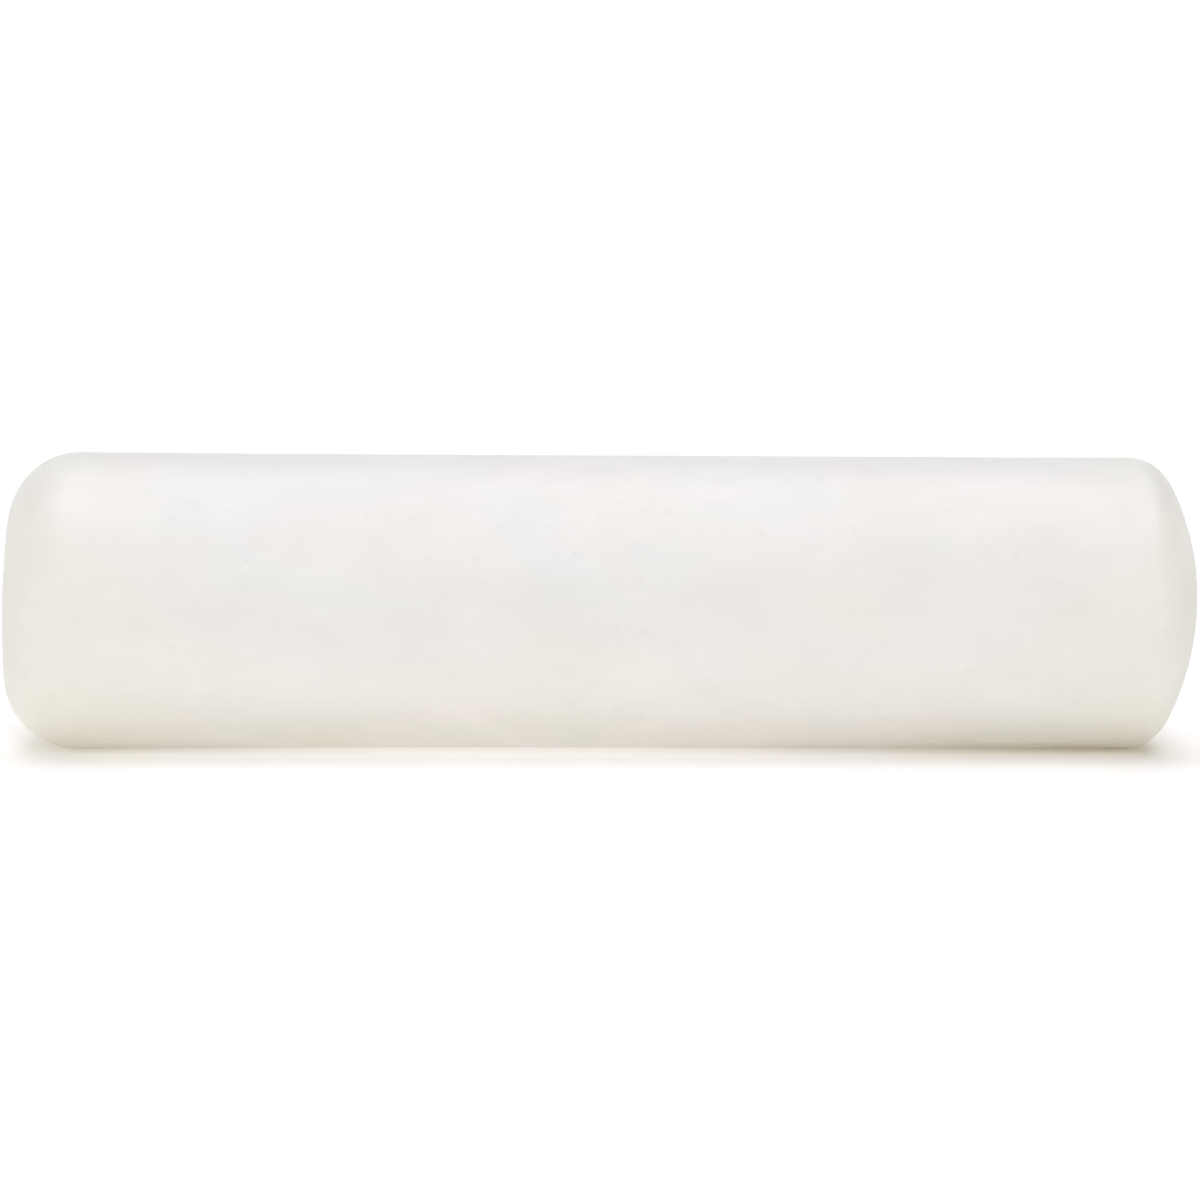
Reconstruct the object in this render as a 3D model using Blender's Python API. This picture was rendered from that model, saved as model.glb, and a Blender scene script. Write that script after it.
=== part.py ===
"""Foam roller: a seamless coated roll lying on its side, built in layers like the real one.

A rigid tube with a plug in each end carries two wraps of foam, a shaped foam block closes each
end, and one dipped skin covers everything. Metres. +X runs along the roller to its domed end and
+Z is up. The origin is the middle of the flat strip that the roller rests on.
"""

import math

import bmesh
import bpy

# Overall size
LENGTH = 0.610
DIAMETER = 0.150
RADIUS = DIAMETER / 2
TIP = LENGTH / 2

# Each end is a spherical crown that meets the barrel through a rounded shoulder
FLAT_SHOULDER = 0.0365
FLAT_CROWN = 0.450
DOME_SHOULDER = 0.020
DOME_CROWN = 0.133

# Layers, from the skin inwards
SKIN = 0.0015
BOND_GAP = 0.0003  # left between layers that are bonded or pressed together
COVER = SKIN + BOND_GAP  # what lies over the foam
FOAM_RADIUS = RADIUS - COVER
FIRM_FOAM_RADIUS = 0.055
TUBE_RADIUS = 0.0375
TUBE_WALL = 0.003

# The wraps and the plugs' flanges stop this far either side of the middle
FOAM_END = 0.260
BUTT_GAP = 0.00035  # between the two edges of a rolled foam sheet

# Tube plug
PLUG_FLANGE = 0.0025
PLUG_DEPTH = 0.020
PLUG_WALL = 0.003
PLUG_LEAD = 0.0012
SPIGOT_RADIUS = TUBE_RADIUS - TUBE_WALL - BOND_GAP
MOULDED_EDGE = 0.0004

# Breather eyelet, sunk flush into the middle of the flat end
BREATHER_BORE = 0.0015
EYELET_BARREL = 0.003
EYELET_FLANGE = 0.006
EYELET_LIP = 0.0045
EYELET_THICKNESS = 0.0008
EYELET_ROUND = 0.0003
EYELET_SINK = 0.0001

# The skin's recess for the eyelet, and the foam's pocket behind it
BREATHER_HOLE = EYELET_BARREL + BOND_GAP
RECESS_DEPTH = EYELET_SINK + EYELET_THICKNESS + BOND_GAP
RECESS_FLOOR = 0.0075
RECESS_MOUTH = 0.009
POCKET_RADIUS = 0.011
POCKET_DEPTH = 0.0055

# Round pieces are turned in steps of 7.5 degrees
SEGMENTS = 48
EYELET_SEGMENTS = 24
SHOULDER_STEPS = 9
CROWN_STEPS = 6

# The foam gives under the roller's weight, which flattens one step either side of the bottom
AXIS_HEIGHT = RADIUS * math.cos(2 * math.pi / SEGMENTS)

# Angles round the axis
BACK = 0.0
TOP = math.pi / 2
FRONT = math.pi


def end_outline(side, shoulder, crown, inset, inner_radius=0.0):
    """(x, r) points of one end, from inner_radius out to the barrel, inset from the outer skin.

    side is -1 or 1. The two arcs keep their centres at any inset, so all layers are parallel.
    """
    across = RADIUS - shoulder
    lean = math.asin(across / (crown - shoulder))
    crown_centre = TIP - crown
    shoulder_centre = crown_centre + (crown - shoulder) * math.cos(lean)
    first = math.asin(inner_radius / (crown - inset))
    points = []
    for i in range(CROWN_STEPS):
        a = first + (lean - first) * i / CROWN_STEPS
        x = crown_centre + (crown - inset) * math.cos(a)
        points.append((side * x, (crown - inset) * math.sin(a)))
    for i in range(SHOULDER_STEPS + 1):
        a = lean + (math.pi / 2 - lean) * i / SHOULDER_STEPS
        x = shoulder_centre + (shoulder - inset) * math.cos(a)
        points.append((side * x, across + (shoulder - inset) * math.sin(a)))
    return points


def flat_end(inset, inner_radius):
    return end_outline(-1, FLAT_SHOULDER, FLAT_CROWN, inset, inner_radius)


def domed_end(inset):
    return end_outline(1, DOME_SHOULDER, DOME_CROWN, inset)


def turned(outline, closed=False, segments=SEGMENTS, start=TOP, sweep=2 * math.pi):
    """Turns an (x, r) outline about X. A closed outline joins its last point to its first."""
    bm = bmesh.new()
    verts = [bm.verts.new((x, r * math.cos(start), r * math.sin(start))) for x, r in outline]
    ends = verts[1:] + verts[:1] if closed else verts[1:]
    for a, b in zip(verts, ends):
        bm.edges.new((a, b))
    whole_turn = sweep == 2 * math.pi
    bmesh.ops.spin(
        bm,
        geom=bm.verts[:] + bm.edges[:],
        cent=(0, 0, 0),
        axis=(1, 0, 0),
        angle=sweep,
        steps=segments,
        use_merge=whole_turn,
    )
    bmesh.ops.remove_doubles(bm, verts=bm.verts, dist=1e-6)
    if not whole_turn:
        bmesh.ops.holes_fill(bm, edges=[e for e in bm.edges if e.is_boundary])
    bmesh.ops.recalc_face_normals(bm, faces=bm.faces)
    return bm


def press_flat(bm, cover):
    """Lifts what hangs below the rest strip, or for a layer inside, below the cover over it."""
    for vert in bm.verts:
        vert.co.z = max(vert.co.z, cover - AXIS_HEIGHT)


def rolled_sheet(outer, inner, seam):
    """A foam sheet wrapped once round the axis, its two edges butted at the angle seam."""
    section = [(-FOAM_END, outer), (FOAM_END, outer), (FOAM_END, inner), (-FOAM_END, inner)]
    opening = BUTT_GAP / inner
    return turned(section, closed=True, start=seam + opening / 2, sweep=2 * math.pi - opening)


def material(name, colour, roughness):
    made = bpy.data.materials.new(name)
    made.use_nodes = True
    shader = made.node_tree.nodes["Principled BSDF"]
    shader.inputs["Base Color"].default_value = (*colour, 1.0)
    shader.inputs["Roughness"].default_value = roughness
    shader.inputs["Metallic"].default_value = 0.0
    return made


def piece(name, bm, look):
    """Makes the named object, centred on the roller's axis."""
    mesh = bpy.data.meshes.new(name)
    bm.to_mesh(mesh)
    bm.free()
    mesh.shade_smooth()
    mesh.set_sharp_from_angle(angle=math.radians(30))
    mesh.materials.append(look)
    obj = bpy.data.objects.new(name, mesh)
    bpy.context.scene.collection.objects.link(obj)
    obj.parent = bpy.data.objects["roller_axis"]
    return obj


def moulded_edge(obj):
    bevel = obj.modifiers.new("moulded_edge", "BEVEL")
    bevel.width = MOULDED_EDGE
    bevel.segments = 1
    bevel.limit_method = "ANGLE"
    bevel.angle_limit = math.radians(50)


def roller_axis():
    """An empty on the roller's axis, which carries every piece."""
    axis = bpy.data.objects.new("roller_axis", None)
    axis.location = (0, 0, AXIS_HEIGHT)
    bpy.context.scene.collection.objects.link(axis)


def outer_skin():
    """One dipped skin, from the breather hole over the recess, the barrel and the dome."""
    floor = RECESS_DEPTH - TIP
    recess = [(floor, BREATHER_HOLE), (floor, RECESS_FLOOR)]
    bm = turned(recess + flat_end(0, RECESS_MOUTH) + domed_end(0)[::-1])
    press_flat(bm, 0)
    skin = piece("outer_skin", bm, material("coated_skin", (0.86, 0.84, 0.79), 0.6))
    wall = skin.modifiers.new("wall", "SOLIDIFY")
    wall.thickness = SKIN
    wall.offset = -1
    wall.use_even_offset = True


def breather_eyelet():
    """A snap-in eyelet: a flange outside, a barrel through the skin and a barbed lip behind."""
    face = EYELET_SINK - TIP
    under = face + EYELET_THICKNESS
    lip = RECESS_DEPTH + COVER - TIP
    nose = lip + 1.5 * EYELET_THICKNESS
    outline = [
        (face, BREATHER_BORE),
        (face, EYELET_FLANGE - EYELET_ROUND),
        (face + EYELET_ROUND, EYELET_FLANGE),
        (under, EYELET_FLANGE),
        (under, EYELET_BARREL),
        (lip, EYELET_BARREL),
        (lip, EYELET_LIP),
        (nose, EYELET_BARREL),
        (nose, BREATHER_BORE),
    ]
    bm = turned(outline, closed=True, segments=EYELET_SEGMENTS)
    piece("breather_eyelet", bm, material("eyelet_plastic", (0.80, 0.79, 0.75), 0.4))


def soft_foam_sleeve():
    bm = rolled_sheet(FOAM_RADIUS, FIRM_FOAM_RADIUS + BOND_GAP, BACK)
    press_flat(bm, COVER)
    piece("soft_foam_sleeve", bm, material("soft_foam", (0.83, 0.80, 0.70), 0.95))


def firm_foam_sleeve():
    bm = rolled_sheet(FIRM_FOAM_RADIUS, TUBE_RADIUS + BOND_GAP, FRONT)
    piece("firm_foam_sleeve", bm, material("firm_foam", (0.30, 0.33, 0.36), 0.9))


def core_tube():
    end = FOAM_END - PLUG_FLANGE - BOND_GAP
    bore = TUBE_RADIUS - TUBE_WALL
    section = [(-end, TUBE_RADIUS), (end, TUBE_RADIUS), (end, bore), (-end, bore)]
    tube = piece("core_tube", turned(section, closed=True), material("tube_plastic", (0.72, 0.73, 0.74), 0.35))
    moulded_edge(tube)


def core_plug(name, side, look):
    """A flanged cup pressed into one end of the tube. side is -1 or 1."""
    seat = FOAM_END - PLUG_FLANGE
    nose = seat - PLUG_DEPTH
    outline = [
        (FOAM_END, 0),
        (FOAM_END, TUBE_RADIUS),
        (seat, TUBE_RADIUS),
        (seat, SPIGOT_RADIUS),
        (nose + PLUG_LEAD, SPIGOT_RADIUS),
        (nose, SPIGOT_RADIUS - PLUG_LEAD),
        (nose, SPIGOT_RADIUS - PLUG_WALL),
        (seat, SPIGOT_RADIUS - PLUG_WALL),
        (seat, 0),
    ]
    moulded_edge(piece(name, turned([(side * x, r) for x, r in outline]), look))


def end_cushion_flat(look):
    """The foam block under the flat end, with a pocket that clears the eyelet."""
    pocket = POCKET_DEPTH - TIP
    joint = -FOAM_END - BOND_GAP
    outline = [(pocket, 0), (pocket, POCKET_RADIUS)] + flat_end(COVER, POCKET_RADIUS)
    bm = turned(outline + [(joint, FOAM_RADIUS), (joint, 0)])
    press_flat(bm, COVER)
    piece("end_cushion_flat", bm, look)


def end_cushion_domed(look):
    joint = FOAM_END + BOND_GAP
    bm = turned(domed_end(COVER) + [(joint, FOAM_RADIUS), (joint, 0)])
    press_flat(bm, COVER)
    piece("end_cushion_domed", bm, look)


def main():
    for obj in list(bpy.data.objects):
        bpy.data.objects.remove(obj)
    roller_axis()
    outer_skin()
    breather_eyelet()
    soft_foam_sleeve()
    firm_foam_sleeve()
    core_tube()
    plug_plastic = material("plug_plastic", (0.08, 0.08, 0.09), 0.45)
    core_plug("core_plug_flat_end", -1, plug_plastic)
    core_plug("core_plug_domed_end", 1, plug_plastic)
    cushion_foam = material("cushion_foam", (0.83, 0.80, 0.70), 0.95)
    end_cushion_flat(cushion_foam)
    end_cushion_domed(cushion_foam)


main()
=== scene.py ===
"""Looks of the foam roller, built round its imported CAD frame.

The roller lies along X, its flat end at -X and its domed end at +X. Its soft pieces are turned
about its axis: a station is a point (x, r) of an outline, and an angle of 0 is the roller's back
and a quarter turn its top. Metres.
"""

import math

import bmesh
import bpy
import numpy as np
from mathutils import Matrix, Vector


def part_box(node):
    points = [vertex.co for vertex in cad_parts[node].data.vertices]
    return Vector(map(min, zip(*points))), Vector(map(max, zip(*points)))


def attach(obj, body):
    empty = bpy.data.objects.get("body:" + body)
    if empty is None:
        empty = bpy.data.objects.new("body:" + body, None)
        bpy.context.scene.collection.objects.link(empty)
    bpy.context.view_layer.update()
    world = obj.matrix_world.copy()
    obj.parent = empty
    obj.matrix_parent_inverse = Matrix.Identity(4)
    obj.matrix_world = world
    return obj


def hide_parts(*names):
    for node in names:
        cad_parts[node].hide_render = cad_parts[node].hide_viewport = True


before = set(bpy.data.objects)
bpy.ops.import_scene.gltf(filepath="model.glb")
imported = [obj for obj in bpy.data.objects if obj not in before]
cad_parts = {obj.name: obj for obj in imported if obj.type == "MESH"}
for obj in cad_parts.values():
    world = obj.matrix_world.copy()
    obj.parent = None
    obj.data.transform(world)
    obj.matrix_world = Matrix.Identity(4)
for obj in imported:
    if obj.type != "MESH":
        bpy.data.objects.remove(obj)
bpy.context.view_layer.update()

SKIN_LOW, SKIN_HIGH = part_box("outer_skin")
EYELET_LOW, EYELET_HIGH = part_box("breather_eyelet")

# Sizes read from the frame
RADIUS = (SKIN_HIGH.y - SKIN_LOW.y) / 2
TIP = SKIN_HIGH.x
AXIS_HEIGHT = SKIN_HIGH.z - RADIUS
EYELET_RADIUS = (EYELET_HIGH.y - EYELET_LOW.y) / 2
TUBE_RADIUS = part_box("core_tube")[1].y
FIRM_FOAM_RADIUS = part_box("firm_foam_sleeve")[1].y
FOAM_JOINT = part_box("end_cushion_domed")[0].x

# The layers, the ends and the eyelet, as the CAD builds them
SKIN = 0.0015
BOND_GAP = 0.0003
COVER = SKIN + BOND_GAP
BUTT_GAP = 0.00035
FLAT_SHOULDER, FLAT_CROWN = 0.0365, 0.450
DOME_SHOULDER, DOME_CROWN = 0.020, 0.133
EYELET_BARREL, EYELET_LIP, EYELET_BORE = 0.003, 0.0045, 0.0015
EYELET_THICKNESS = 0.0008
BREATHER_HOLE = EYELET_BARREL + BOND_GAP
POCKET_DEPTH = 0.0055

# The eyelet's recess has softer sides than the CAD's, so the pocket behind it is a little wider
RECESS_FLOOR, RECESS_MOUTH = 0.0068, 0.0105
POCKET_RADIUS = 0.0112

# What the soft body adds to the CAD's shape
END_LEAN = 0.0205  # how far an end leans along X for each metre of height
WAIST = 0.0005  # the wraps are this much slimmer in the middle than at their ends
UNEVEN = 0.00012  # of the whole body, over about a hand's width
COARSE_PEEL, FINE_PEEL = 0.000020, 0.000012  # of the coat
PRESS_ROUND = 0.0003  # how softly the strip that rests on the floor runs out into the barrel

# Mesh fineness. A cap is a grid of square rings, so the barrel has 8 * CAP_RINGS sides
CAP_RINGS = 36
RECESS_RINGS = 12
BARREL_STEPS = 224
FLAT_SHOULDER_STEPS = 27
DOME_SHOULDER_STEPS = 13
COARSE_SIDES = 8 * RECESS_RINGS

# Camera, and where it aims from the roller's middle
VIEW_AZIMUTH, VIEW_ELEVATION, VIEW_ROLL = -4.4, 6.0, 0.62
VIEW_DISTANCE = 2.3
FRAME_WIDTH = 0.6147
AIM_RIGHT, AIM_UP = -0.0019, 0.0008
SENSOR = 36.0

# Studio
SKY_FADE = (0.15, 0.5, 1.03, 0.0)  # from and to these heights, and the strength at each
DAYLIGHT = (1.0, 1.0, 1.08)
FLOOR_GLOW = (0.112, 0.096, 0.058)
PAINTED_GLOW_POOL = (0.350, 0.338, 0.335)  # a painted pool of light: the floor's extra glow at the middle of the strip under the roller
GLOW_POOL_CENTRE = -0.06  # along X
GLOW_POOL_REACH = 0.09  # the pool's glow is lost this far in front of its middle line and behind
GLOW_POOL_THINNESS = 0.22  # the glow's width for each metre of its length
FLOOR_SIZE = 12.0
FLOOR_DROP = 0.0003

TURN = 2 * math.pi


# ---- unevenness of the soft body -------------------------------------------------------------------


def waves(points, wavelength, seed, stretch=1.0, count=24):
    """A smooth random field of about unit height: seeded plane waves, longer along X by stretch."""
    rng = np.random.default_rng(seed)
    heading = rng.normal(size=(count, 3))
    heading /= np.linalg.norm(heading, axis=1)[:, None]
    pace = TURN / (wavelength * rng.uniform(0.7, 1.4, count))
    pushed = heading * pace[:, None] / np.array([stretch, 1, 1])
    phase = rng.uniform(0, TURN, count)
    return np.cos(points @ pushed.T + phase).sum(1) * math.sqrt(2 / count)


def body_shape(points):
    """How far the foam stands proud of a perfect turned body. The skin and every layer follow it."""
    along = (points[:, 0] / FOAM_JOINT).clip(-1, 1)
    uneven = UNEVEN * waves(points, wavelength=0.16, seed=11, stretch=1.8)
    return WAIST * (along * along - 0.5) + uneven


def end_lean(x, height):
    """How far the foam ends lean towards +X at a height over the axis: they aren't cut quite square."""
    t = np.clip((abs(x) - FOAM_JOINT) / (TIP - FOAM_JOINT), 0, 1)
    return END_LEAN * height * t * t * (3 - 2 * t)


def coat_relief(points):
    """The coat's own faint orange peel."""
    coarse = COARSE_PEEL * waves(points, wavelength=0.011, seed=12, stretch=1.5)
    return coarse + FINE_PEEL * waves(points, wavelength=0.006, seed=13)


# ---- stations: rows of x, r, the push direction's x and r, and depth under the outer surface --------


def arc(side, centre, radius, turns, inset):
    x, r = centre
    c, s = np.cos(turns), np.sin(turns)
    return np.stack([side * (x + radius * c), r + radius * s, side * c, s, inset + 0 * c], 1)


def end_arcs(shoulder, crown):
    """The angle where an end's two arcs meet, and the centres of its crown and its shoulder."""
    across = RADIUS - shoulder
    lean = math.asin(across / (crown - shoulder))
    centre = TIP - crown
    return lean, (centre, 0.0), (centre + (crown - shoulder) * math.cos(lean), across)


def crown_stations(side, shoulder, crown, inset, inner_radius, steps):
    lean, centre, _ = end_arcs(shoulder, crown)
    first = math.asin(inner_radius / (crown - inset))
    return arc(side, centre, crown - inset, np.linspace(first, lean, steps + 1), inset)


def shoulder_stations(side, shoulder, crown, inset, steps):
    lean, _, centre = end_arcs(shoulder, crown)
    return arc(side, centre, shoulder - inset, np.linspace(lean, math.pi / 2, steps + 1), inset)


def flat_crown(inset, inner_radius, steps):
    return crown_stations(-1, FLAT_SHOULDER, FLAT_CROWN, inset, inner_radius, steps)


def domed_crown(inset, steps):
    return crown_stations(1, DOME_SHOULDER, DOME_CROWN, inset, 0, steps)


def flat_shoulder(inset, steps):
    return shoulder_stations(-1, FLAT_SHOULDER, FLAT_CROWN, inset, steps)


def domed_shoulder(inset, steps):
    return shoulder_stations(1, DOME_SHOULDER, DOME_CROWN, inset, steps)


def straight(start, end, steps):
    """Stations on a straight line between two others, both left in."""
    t = np.linspace(0, 1, steps + 1)[:, None]
    return start + (end - start) * t


def fixed(x, r, push=(0, 0), inset=0.0):
    return np.array([x, r, *push, inset], float)


def barrel_outline(inset, left_steps, barrel_steps, right_steps):
    """Both shoulders and the barrel between them."""
    left = flat_shoulder(inset, left_steps)
    right = domed_shoulder(inset, right_steps)[::-1]
    return np.concatenate([left, straight(left[-1], right[0], barrel_steps)[1:], right[1:]])


# ---- meshes ----------------------------------------------------------------------------------------


def loft(stations, sides):
    """Rings of quads through the stations, as (stations, angles, faces) for placed()."""
    n = len(stations)
    i, j = np.meshgrid(np.arange(n - 1), np.arange(sides), indexing="ij")
    a, b = i * sides + j, i * sides + (j + 1) % sides
    faces = np.stack([a, b, b + sides, a + sides], -1).reshape(-1, 4)
    return np.repeat(stations, sides, axis=0), np.tile(np.arange(sides) * TURN / sides, n), faces


def cap(stations, hole=0):
    """A square grid, its square rings bent into circles through the stations, less hole rings."""
    rings = len(stations) - 1 + hole
    line = np.arange(2 * rings + 1) - rings
    u, v = np.meshgrid(line, line, indexing="ij")
    ring = np.maximum(abs(u), abs(v))
    wide = abs(u) >= abs(v)
    long_way, short_way = np.where(wide, u, v), np.where(wide, v, u)
    slope = short_way / np.where(long_way == 0, 1, long_way)
    angle = np.where(wide, slope, 2 - slope) * math.pi / 4 + np.where(long_way < 0, math.pi, 0)
    at = np.arange(u.size).reshape(u.shape)
    faces = np.stack([at[:-1, :-1], at[1:, :-1], at[1:, 1:], at[:-1, 1:]], -1).reshape(-1, 4)
    faces = faces[ring.ravel()[faces].min(1) >= hole]
    return stations[np.maximum(ring.ravel() - hole, 0)], angle.ravel(), faces


def placed(stations, angle, faces):
    """(points, faces) in space, shaped by the body, its coat and the floor that it rests on."""
    x, r, push_x, push_r, inset = stations.T
    nominal = np.stack([x, r * np.cos(angle), r * np.sin(angle)], 1)
    on_surface = np.clip(1 - inset / SKIN, 0, 1)
    out = body_shape(nominal) + coat_relief(nominal) * on_surface
    r = r + out * push_r
    height = r * np.sin(angle)
    x = x + out * push_x + end_lean(x, height)
    # A smooth maximum lifts what hangs too low: the surface to the floor, a layer to its own depth
    over = AXIS_HEIGHT + height - inset
    z = inset + (over + np.hypot(over, PRESS_ROUND)) / 2
    return np.stack([x, r * np.cos(angle), z], 1), faces


def welded(name, parts):
    """One smooth object from (points, faces) parts, welded where they meet and facing outwards."""
    firsts = np.cumsum([0] + [len(points) for points, _ in parts])
    mesh = bpy.data.meshes.new(name)
    points = np.concatenate([points for points, _ in parts])
    faces = np.concatenate([faces + first for (_, faces), first in zip(parts, firsts)])
    mesh.from_pydata(points, [], faces)
    bm = bmesh.new()
    bm.from_mesh(mesh)
    bmesh.ops.remove_doubles(bm, verts=bm.verts, dist=2e-6)
    bmesh.ops.delete(bm, geom=[v for v in bm.verts if not v.link_faces], context="VERTS")
    bmesh.ops.recalc_face_normals(bm, faces=bm.faces)
    bm.to_mesh(mesh)
    bm.free()
    mesh.shade_smooth()
    mesh.set_sharp_from_angle(angle=math.radians(50))
    obj = bpy.data.objects.new(name, mesh)
    bpy.context.scene.collection.objects.link(obj)
    return obj


def stands_for(obj, node, look):
    obj.data.materials.append(look)
    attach(obj, "root")
    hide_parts(node)


# ---- shader building -------------------------------------------------------------------------------


class Look:
    """A Principled material and short ways to add the nodes that drive it."""

    def __init__(self, name, roughness, **sockets):
        self.material = bpy.data.materials.new(name)
        self.material.use_nodes = True
        self.tree = self.material.node_tree
        self.shader = self.tree.nodes["Principled BSDF"]
        self.shader.inputs["Roughness"].default_value = roughness
        for socket, value in sockets.items():
            self.shader.inputs[socket.replace("_", " ")].default_value = value
        self.place = self.tree.nodes.new("ShaderNodeTexCoord").outputs["Object"]

    def node(self, kind, inputs, output=0, **settings):
        """Adds a node. inputs maps a socket's name or number to a value or to another output."""
        made = self.tree.nodes.new("ShaderNode" + kind)
        for setting, value in settings.items():
            setattr(made, setting, value)
        for socket, value in inputs.items():
            if isinstance(value, bpy.types.NodeSocket):
                self.tree.links.new(value, made.inputs[socket])
            else:
                made.inputs[socket].default_value = value
        return made.outputs[output]

    def stretched(self, along):
        """Object coordinates drawn out along X, so that a pattern is longer that way."""
        return self.node("Mapping", {"Vector": self.place, "Scale": (1 / along, 1, 1)})

    def noise(self, size, detail=2.0, along=1.0, low=0.3, high=0.7, to=(0.0, 1.0)):
        """Noise with features of about size metres, its middle range spread over to."""
        where = {"Vector": self.stretched(along), "Scale": 1 / size, "Detail": detail}
        return self.ranged(self.node("TexNoise", where), low, high, to)

    def ranged(self, value, low, high, to):
        limits = {"Value": value, "From Min": low, "From Max": high, "To Min": to[0], "To Max": to[1]}
        return self.node("MapRange", limits, interpolation_type="SMOOTHSTEP")

    def math(self, operation, a, b=0.0, c=0.0):
        return self.node("Math", {0: a, 1: b, 2: c}, operation=operation)

    def dots(self, spacing, radius, share, along=1.0):
        """1 in scattered round dots and 0 elsewhere.

        Cells are spacing apart, and share of them have a dot.
        """
        cells = {"Vector": self.stretched(along), "Scale": 1 / spacing}
        near = self.node("TexVoronoi", cells, "Distance")
        pick = self.node("TexVoronoi", cells, "Color")
        chosen = self.math("LESS_THAN", self.node("SeparateColor", {0: pick}, "Red"), share)
        edge = radius / spacing
        return self.math("MULTIPLY", self.ranged(near, 0.3 * edge, edge, (1.0, 0.0)), chosen)

    def blend(self, factor, a, b):
        """Mixes two colours, each given as numbers or as another node's output.

        A Mix node's sockets 6 and 7 are its two colours, and its output 2 is their mixture.
        """
        a, b = (c if isinstance(c, bpy.types.NodeSocket) else (*c, 1) for c in (a, b))
        return self.node("Mix", {0: factor, 6: a, 7: b}, output=2, data_type="RGBA")

    def paint(self, colour, shade=None):
        if shade is not None:
            colour = self.node("VectorMath", {0: colour, "Scale": shade}, operation="SCALE")
        self.tree.links.new(colour, self.shader.inputs["Base Color"])

    def rough(self, value):
        self.tree.links.new(value, self.shader.inputs["Roughness"])

    def relief(self, *heights):
        """Bumps the surface by the sum of (pattern, metres) pairs."""
        total = 0.0
        for pattern, metres in heights:
            total = self.math("MULTIPLY_ADD", pattern, metres, total)
        bump = self.node("Bump", {"Height": total, "Distance": 1.0})
        self.tree.links.new(bump, self.shader.inputs["Normal"])


# ---- materials -------------------------------------------------------------------------------------


def coated_skin():
    """The dipped coat: a matte warm white, faintly mottled and a little yellower at the ends.

    The film is smooth, with small scattered nibs and pits; the pits are painted darker, as painted
    shade.
    """
    look = Look("dipped_coat", 0.42, IOR=1.45)
    warm = look.noise(0.050, detail=1.5, along=2.0)
    colour = look.blend(warm, (0.836, 0.817, 0.744), (0.824, 0.816, 0.766))
    pink = look.noise(0.035, detail=1.5, along=1.6, to=(0.0, 0.6))
    colour = look.blend(pink, colour, (0.843, 0.808, 0.749))
    from_middle = look.math("ABSOLUTE", look.node("SeparateXYZ", {0: look.place}, "X"))
    yellowed = look.ranged(from_middle, 0.19, 0.30, (0.0, 1.0))
    colour = look.blend(yellowed, colour, (0.836, 0.817, 0.728))
    patches = look.noise(0.028, detail=2.0, along=1.8, to=(0.978, 1.010))
    lumps = look.noise(0.006, detail=1.0, along=2.0, to=(0.996, 1.004))
    nibs = look.dots(spacing=0.0095, radius=0.0017, share=0.35, along=1.2)
    pits = look.dots(spacing=0.0090, radius=0.0019, share=0.35, along=1.3)
    # Painted shade: the pits' colour is darkened by 2.5 %, standing in for the shade inside them
    pit_shade = look.math("MULTIPLY_ADD", pits, -0.025, 1.0)
    look.paint(colour, look.math("MULTIPLY", look.math("MULTIPLY", patches, lumps), pit_shade))
    look.rough(look.noise(0.03, to=(0.38, 0.46)))
    peel = look.noise(0.0022, detail=1.5)
    look.relief((lumps, 0.008), (peel, 0.000010), (nibs, 0.00022), (pits, -0.00016))
    return look.material


def foam(name, light, dark, cell):
    """Cut foam: rounded cells of about cell metres, with painted shade darkening their hollows."""
    look = Look(name, 0.95)
    cells = look.node("TexVoronoi", {"Vector": look.place, "Scale": 1 / cell}, "Distance")
    hollow = look.ranged(cells, 0.1, 0.6, (1.0, 0.0))
    shade = look.noise(0.04, to=(0.94, 1.0))
    # Painted shade: each cell's hollow is blended towards the dark colour
    look.paint(look.blend(hollow, light, dark), shade)
    look.relief((hollow, -0.15 * cell), (look.noise(0.006), 0.0001))
    return look.material


def moulded_plastic(name, colour, roughness, spark):
    """Injection-moulded plastic with a fine spark-eroded texture of spark metres."""
    look = Look(name, roughness, IOR=1.5)
    cloud = look.noise(0.02, to=(0.97, 1.02))
    look.paint(look.blend(look.noise(0.05), colour, tuple(0.96 * c for c in colour)), cloud)
    look.rough(look.noise(0.004, to=(roughness - 0.05, roughness + 0.05)))
    look.relief((look.noise(spark, detail=3.0), 0.05 * spark))
    return look.material


def extruded_plastic():
    """The tube: lines drawn along X by the die, and a few scuffs."""
    look = Look("drawn_plastic", 0.35, IOR=1.53)
    lines = look.noise(0.0015, detail=3.0, along=200.0)
    colour = look.blend(lines, (0.70, 0.71, 0.72), (0.74, 0.75, 0.76))
    look.paint(colour, look.noise(0.05, to=(0.96, 1.0)))
    look.rough(look.noise(0.004, along=30.0, to=(0.28, 0.42)))
    look.relief((lines, 0.00003))
    return look.material


def studio_white():
    """The table top glows faintly all over, and more in a painted pool of light along the strip under
    the roller, where no lamp is.
    """
    look = Look("studio_white", 0.9, Emission_Strength=1.0)
    look.paint(look.blend(look.noise(1.5), (0.955, 0.955, 0.955), (0.965, 0.965, 0.965)))
    # Painted pool of light: the floor glows more in a strip under the roller, though no lamp is there
    squeeze = {"Location": (-GLOW_POOL_CENTRE * GLOW_POOL_THINNESS, 0, 0), "Scale": (GLOW_POOL_THINNESS, 1, 0)}
    aside = look.node("Mapping", {"Vector": look.place, **squeeze})
    away = look.node("VectorMath", {0: aside}, output="Value", operation="LENGTH")
    near = look.ranged(away, 0.0, GLOW_POOL_REACH, (1.0, 0.0))
    look.tree.links.new(look.blend(near, FLOOR_GLOW, PAINTED_GLOW_POOL), look.shader.inputs["Emission Color"])
    return look.material


# ---- pieces ----------------------------------------------------------------------------------------


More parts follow.
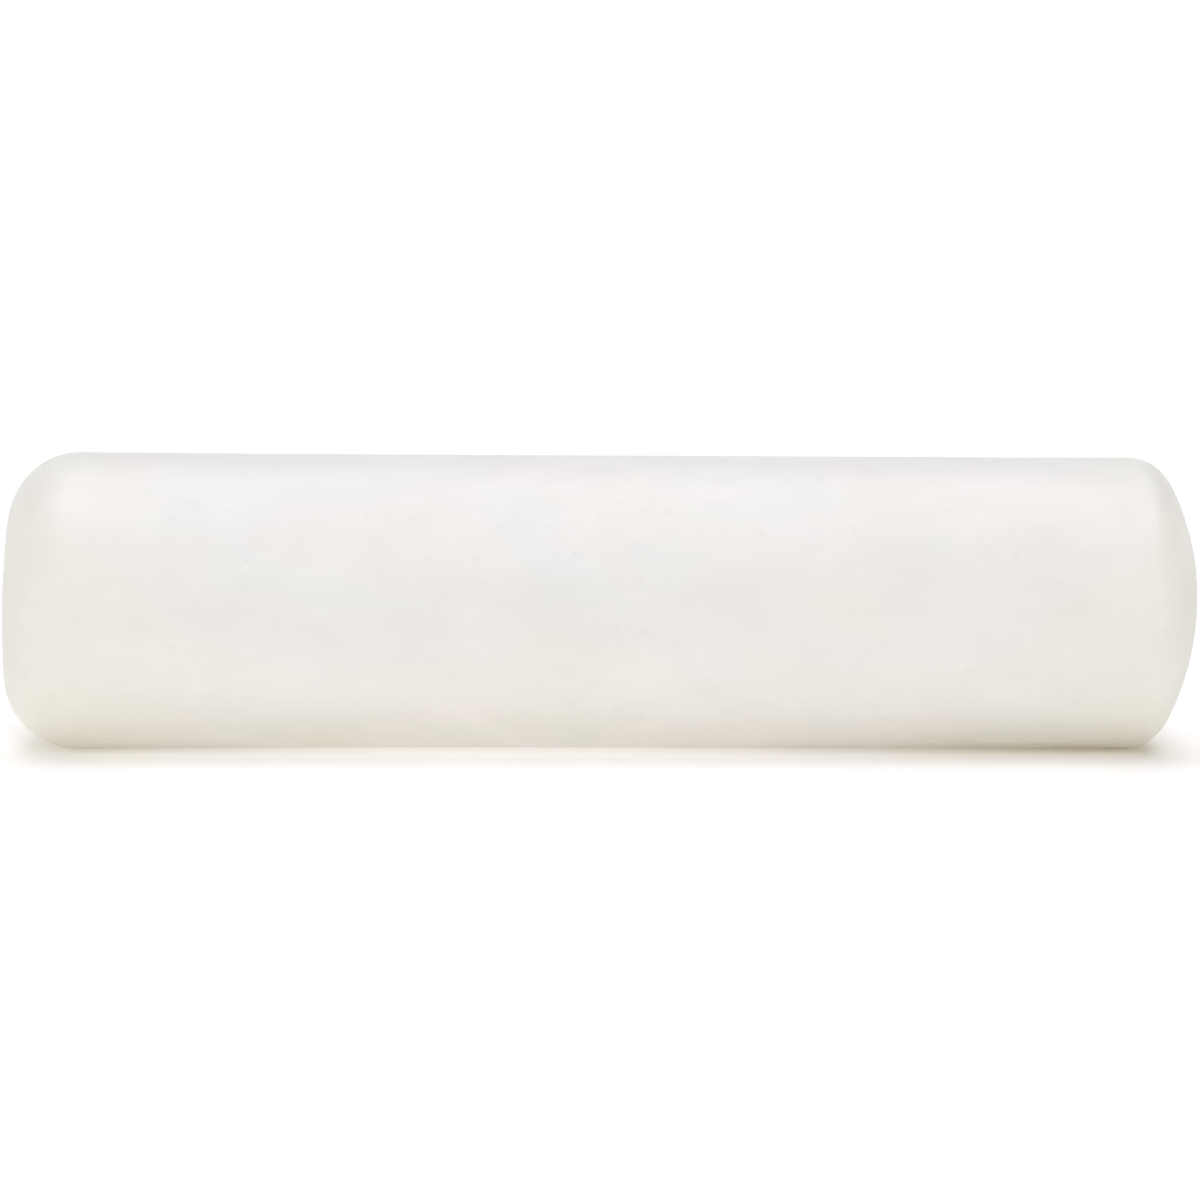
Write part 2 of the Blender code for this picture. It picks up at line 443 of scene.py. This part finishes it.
def recess_stations(front_mouth, back_mouth):
    """From the recess's mouth down to the breather hole, through it, and back out behind."""
    t = np.linspace(0, 1, 10)[:, None]
    ease = t * t * (3 - 2 * t)
    face = EYELET_LOW.x + EYELET_THICKNESS + BOND_GAP
    push = front_mouth[2:4]
    floor, back = (fixed(face + deep, RECESS_FLOOR, push, deep) for deep in (0, SKIN))
    edge, far_edge = (fixed(face + deep, BREATHER_HOLE, push, deep) for deep in (0, SKIN))
    down, up = front_mouth + (floor - front_mouth) * t, back_mouth + (back - back_mouth) * t
    down[:, :1] = front_mouth[0] + (floor[0] - front_mouth[0]) * ease
    up[:, :1] = back_mouth[0] + (back[0] - back_mouth[0]) * ease
    through = [straight(floor, edge, 5)[1:], straight(edge, far_edge, 3)[1:]]
    return np.concatenate([down, *through, straight(far_edge, back, 5)[1:], up[::-1][1:]])


def seamless_skin():
    """The coat: a fine outer surface, the recess the eyelet sits in, and a plainer inner surface."""
    crown = flat_crown(0, RECESS_MOUTH, CAP_RINGS - RECESS_RINGS)
    barrel = barrel_outline(0, FLAT_SHOULDER_STEPS, BARREL_STEPS, DOME_SHOULDER_STEPS)
    behind = flat_crown(SKIN, RECESS_MOUTH, 8)
    dome = domed_crown(SKIN, 14)[::-1]
    inside = np.concatenate([behind, barrel_outline(SKIN, 14, 40, 10)[1:], dome[1:]])
    parts = [
        placed(*cap(crown, hole=RECESS_RINGS)),
        placed(*loft(barrel, 8 * CAP_RINGS)),
        placed(*cap(domed_crown(0, CAP_RINGS))),
        placed(*loft(inside, COARSE_SIDES)),
        placed(*loft(recess_stations(crown[0], behind[0]), COARSE_SIDES)),
    ]
    stands_for(welded("seamless_skin", parts), "outer_skin", coated_skin())


def vent_eyelet():
    """The snap-in eyelet, its flange's edge and its bore's mouth rounded as moulded."""
    face = EYELET_LOW.x
    under = face + EYELET_THICKNESS
    lip = face + EYELET_THICKNESS + SKIN + 2 * BOND_GAP
    nose = EYELET_HIGH.x
    edge, chamfer, ease, land = 0.00035, 0.0004, 0.0001, 0.0002
    rounding = np.linspace(0, math.pi / 2, 6)
    outline = [(face + chamfer, EYELET_BORE), (face + ease, EYELET_BORE + chamfer)]
    outline += [(face, EYELET_BORE + 2 * chamfer), (face, EYELET_RADIUS - 3 * edge)]
    for a in rounding:
        outline.append((face + edge * (1 - math.cos(a)), EYELET_RADIUS - edge * (1 - math.sin(a))))
    outline += [(under, EYELET_RADIUS), (under, EYELET_BARREL), (lip, EYELET_BARREL)]
    outline += [(lip, EYELET_LIP), (lip + land, EYELET_LIP), (nose, EYELET_BARREL)]
    outline += [(nose, EYELET_BORE), outline[0]]
    rows = np.array([fixed(x, r, push=(-1, 0), inset=SKIN) for x, r in outline])
    look = moulded_plastic("moulded_eyelet", (0.80, 0.79, 0.75), 0.38, 0.0003)
    eyelet = welded("vent_eyelet", [placed(*loft(rows, 64))])
    stands_for(eyelet, "breather_eyelet", look)


def end_block(name, node, surface, hollow, look):
    """A shaped foam block from its joint with the wraps out to surface. hollow opens its crown."""
    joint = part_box(node)[0 if name.endswith("domed") else 1].x
    rim = fixed(joint, RADIUS - COVER, push=(0, 1), inset=COVER)
    middle = fixed(joint, 0, inset=COVER)
    rows = [hollow, surface, straight(surface[-1], rim, 5)[1:], straight(rim, middle, 12)[1:]]
    rows = np.concatenate([part for part in rows if len(part)])
    block = welded(name, [placed(*loft(rows, COARSE_SIDES))])
    stands_for(block, node, look)


def rolled_foam(name, node, core, seam, look):
    """A foam sheet bent once round a core: a box of quads whose far edges butt at the angle seam.

    Only the soft wrap's outside follows the body's unevenness. All its other faces are evenly round.
    """
    low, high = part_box(node)
    outer, inner = high.y, core + BOND_GAP
    follows = outer > FIRM_FOAM_RADIUS
    cells = (60, 120, 4)  # along, round and through the sheet
    opening = BUTT_GAP / inner
    parts = []
    for flat_way in range(3):
        a, b = (way for way in range(3) if way != flat_way)
        u, v = (np.linspace(0, 1, cells[way] + 1) for way in (a, b))
        u, v = np.meshgrid(u, v, indexing="ij")
        at = np.arange(u.size).reshape(u.shape)
        faces = np.stack([at[:-1, :-1], at[1:, :-1], at[1:, 1:], at[:-1, 1:]], -1).reshape(-1, 4)
        for end in (0.0, 1.0):
            along, round_way, deep = (
                {flat_way: np.full(u.size, end), a: u.ravel(), b: v.ravel()}[way] for way in range(3)
            )
            angle = seam + opening / 2 + round_way * (TURN - opening)
            x = low.x + (high.x - low.x) * along
            r = inner + (outer - inner) * deep
            rows = np.stack([x, r, 0 * x, deep * follows, COVER + 0 * x], 1)
            parts.append(placed(rows, angle, faces))
    stands_for(welded(name, parts), node, look)


def foam_pieces():
    """The two shaped blocks and the two wraps."""
    # The second colour of each foam is the painted shade in the hollows of its cells
    soft, soft_hollow_shade, soft_cell = (0.84, 0.81, 0.72), (0.70, 0.66, 0.56), 0.0009
    firm, firm_hollow_shade, firm_cell = (0.33, 0.36, 0.40), (0.20, 0.22, 0.25), 0.0006
    cushion = foam("carved_foam", soft, soft_hollow_shade, soft_cell)
    pocket = POCKET_DEPTH - TIP
    bottom = [fixed(pocket, r, inset=COVER) for r in np.linspace(0, POCKET_RADIUS, 5)]
    flat = np.concatenate([flat_crown(COVER, POCKET_RADIUS, 8), flat_shoulder(COVER, 14)[1:]])
    domed = np.concatenate([domed_crown(COVER, 14), domed_shoulder(COVER, 10)[1:]])
    end_block("end_block_flat", "end_cushion_flat", flat, bottom, cushion)
    end_block("end_block_domed", "end_cushion_domed", domed, [], cushion)
    soft_look = foam("soft_rolled_foam", soft, soft_hollow_shade, soft_cell)
    firm_look = foam("firm_rolled_foam", firm, firm_hollow_shade, firm_cell)
    rolled_foam("soft_wrap", "soft_foam_sleeve", FIRM_FOAM_RADIUS, 0.0, soft_look)
    rolled_foam("firm_wrap", "firm_foam_sleeve", TUBE_RADIUS, math.pi, firm_look)


def hard_core():
    """The tube and its plugs keep their CAD shape."""
    plug = moulded_plastic("moulded_plug", (0.08, 0.08, 0.09), 0.45, 0.0004)
    looks = {"core_tube": extruded_plastic(), "core_plug_flat_end": plug, "core_plug_domed_end": plug}
    for node, look in looks.items():
        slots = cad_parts[node].material_slots
        slots[0].material = look


# ---- studio ----------------------------------------------------------------------------------------


def photographer():
    """The camera: in front and a little to the flat end's side, looking slightly down."""
    azimuth, elevation = math.radians(VIEW_AZIMUTH), math.radians(VIEW_ELEVATION)
    level = math.cos(elevation)
    back = Vector((math.sin(azimuth) * level, -math.cos(azimuth) * level, math.sin(elevation)))
    turn = back.to_track_quat("Z", "Y").to_matrix() @ Matrix.Rotation(math.radians(VIEW_ROLL), 3, "Z")
    aim = Vector((0, 0, AXIS_HEIGHT)) + turn @ Vector((AIM_RIGHT, AIM_UP, 0))
    data = bpy.data.cameras.new("camera")
    data.sensor_width = SENSOR
    data.lens = SENSOR * VIEW_DISTANCE / FRAME_WIDTH
    camera = bpy.data.objects.new("camera", data)
    camera.matrix_world = Matrix.LocRotScale(aim + back * VIEW_DISTANCE, turn.to_quaternion(), None)
    bpy.context.scene.collection.objects.link(camera)
    bpy.context.scene.camera = camera


def lamp(kind, name, place, strength, **settings):
    """A lamp at place, aimed at the roller's middle and not seen itself."""
    data = bpy.data.lights.new(name, kind)
    data.energy = strength
    data.color = DAYLIGHT
    for setting, value in settings.items():
        setattr(data, setting, value)
    light = bpy.data.objects.new(name, data)
    light.location = place
    aim = Vector(place) - Vector((0, 0, AXIS_HEIGHT))
    light.rotation_euler = aim.to_track_quat("Z", "Y").to_euler()
    light.visible_camera = False
    bpy.context.scene.collection.objects.link(light)


def lights():
    """Large distant softboxes all round, and a near one in front of the flat end."""
    lamp("SUN", "overhead", (0, 0, 3), 1.89, angle=math.radians(60))
    lamp("SUN", "front", (0, -3, 2.5), 0.68, angle=math.radians(35))
    lamp("SUN", "behind", (0, 3, 3), 0.43, angle=math.radians(50))
    lamp("SUN", "left", (-3, -0.5, 1.8), 0.11, angle=math.radians(50))
    lamp("AREA", "left_front", (-0.7, -0.9, 0.5), 0.42, size=0.5)


def sky():
    """White at the horizon and dark overhead, where the softboxes are."""
    world = bpy.data.worlds.new("sky")
    world.use_nodes = True
    tree = world.node_tree
    direction = tree.nodes.new("ShaderNodeTexCoord").outputs["Generated"]
    split = tree.nodes.new("ShaderNodeSeparateXYZ")
    fade = tree.nodes.new("ShaderNodeMapRange")
    fade.interpolation_type = "SMOOTHSTEP"
    for socket, value in zip(("From Min", "From Max", "To Min", "To Max"), SKY_FADE):
        fade.inputs[socket].default_value = value
    background = tree.nodes["Background"]
    background.inputs["Color"].default_value = (1, 1, 1, 1)
    tree.links.new(direction, split.inputs["Vector"])
    tree.links.new(split.outputs["Z"], fade.inputs["Value"])
    tree.links.new(fade.outputs["Result"], background.inputs["Strength"])
    bpy.context.scene.world = world


def lit_floor():
    """A white table top that glows faintly, and more in a painted pool of light under the roller."""
    mesh = bpy.data.meshes.new("floor")
    half = FLOOR_SIZE / 2
    corners = [(-half, -half), (half, -half), (half, half), (-half, half)]
    mesh.from_pydata([(x, y, -FLOOR_DROP) for x, y in corners], [], [(0, 1, 2, 3)])
    mesh.materials.append(studio_white())
    floor = bpy.data.objects.new("floor", mesh)
    bpy.context.scene.collection.objects.link(floor)


seamless_skin()
vent_eyelet()
foam_pieces()
hard_core()
photographer()
lights()
sky()
lit_floor()
bpy.context.scene.view_settings.view_transform = "Standard"
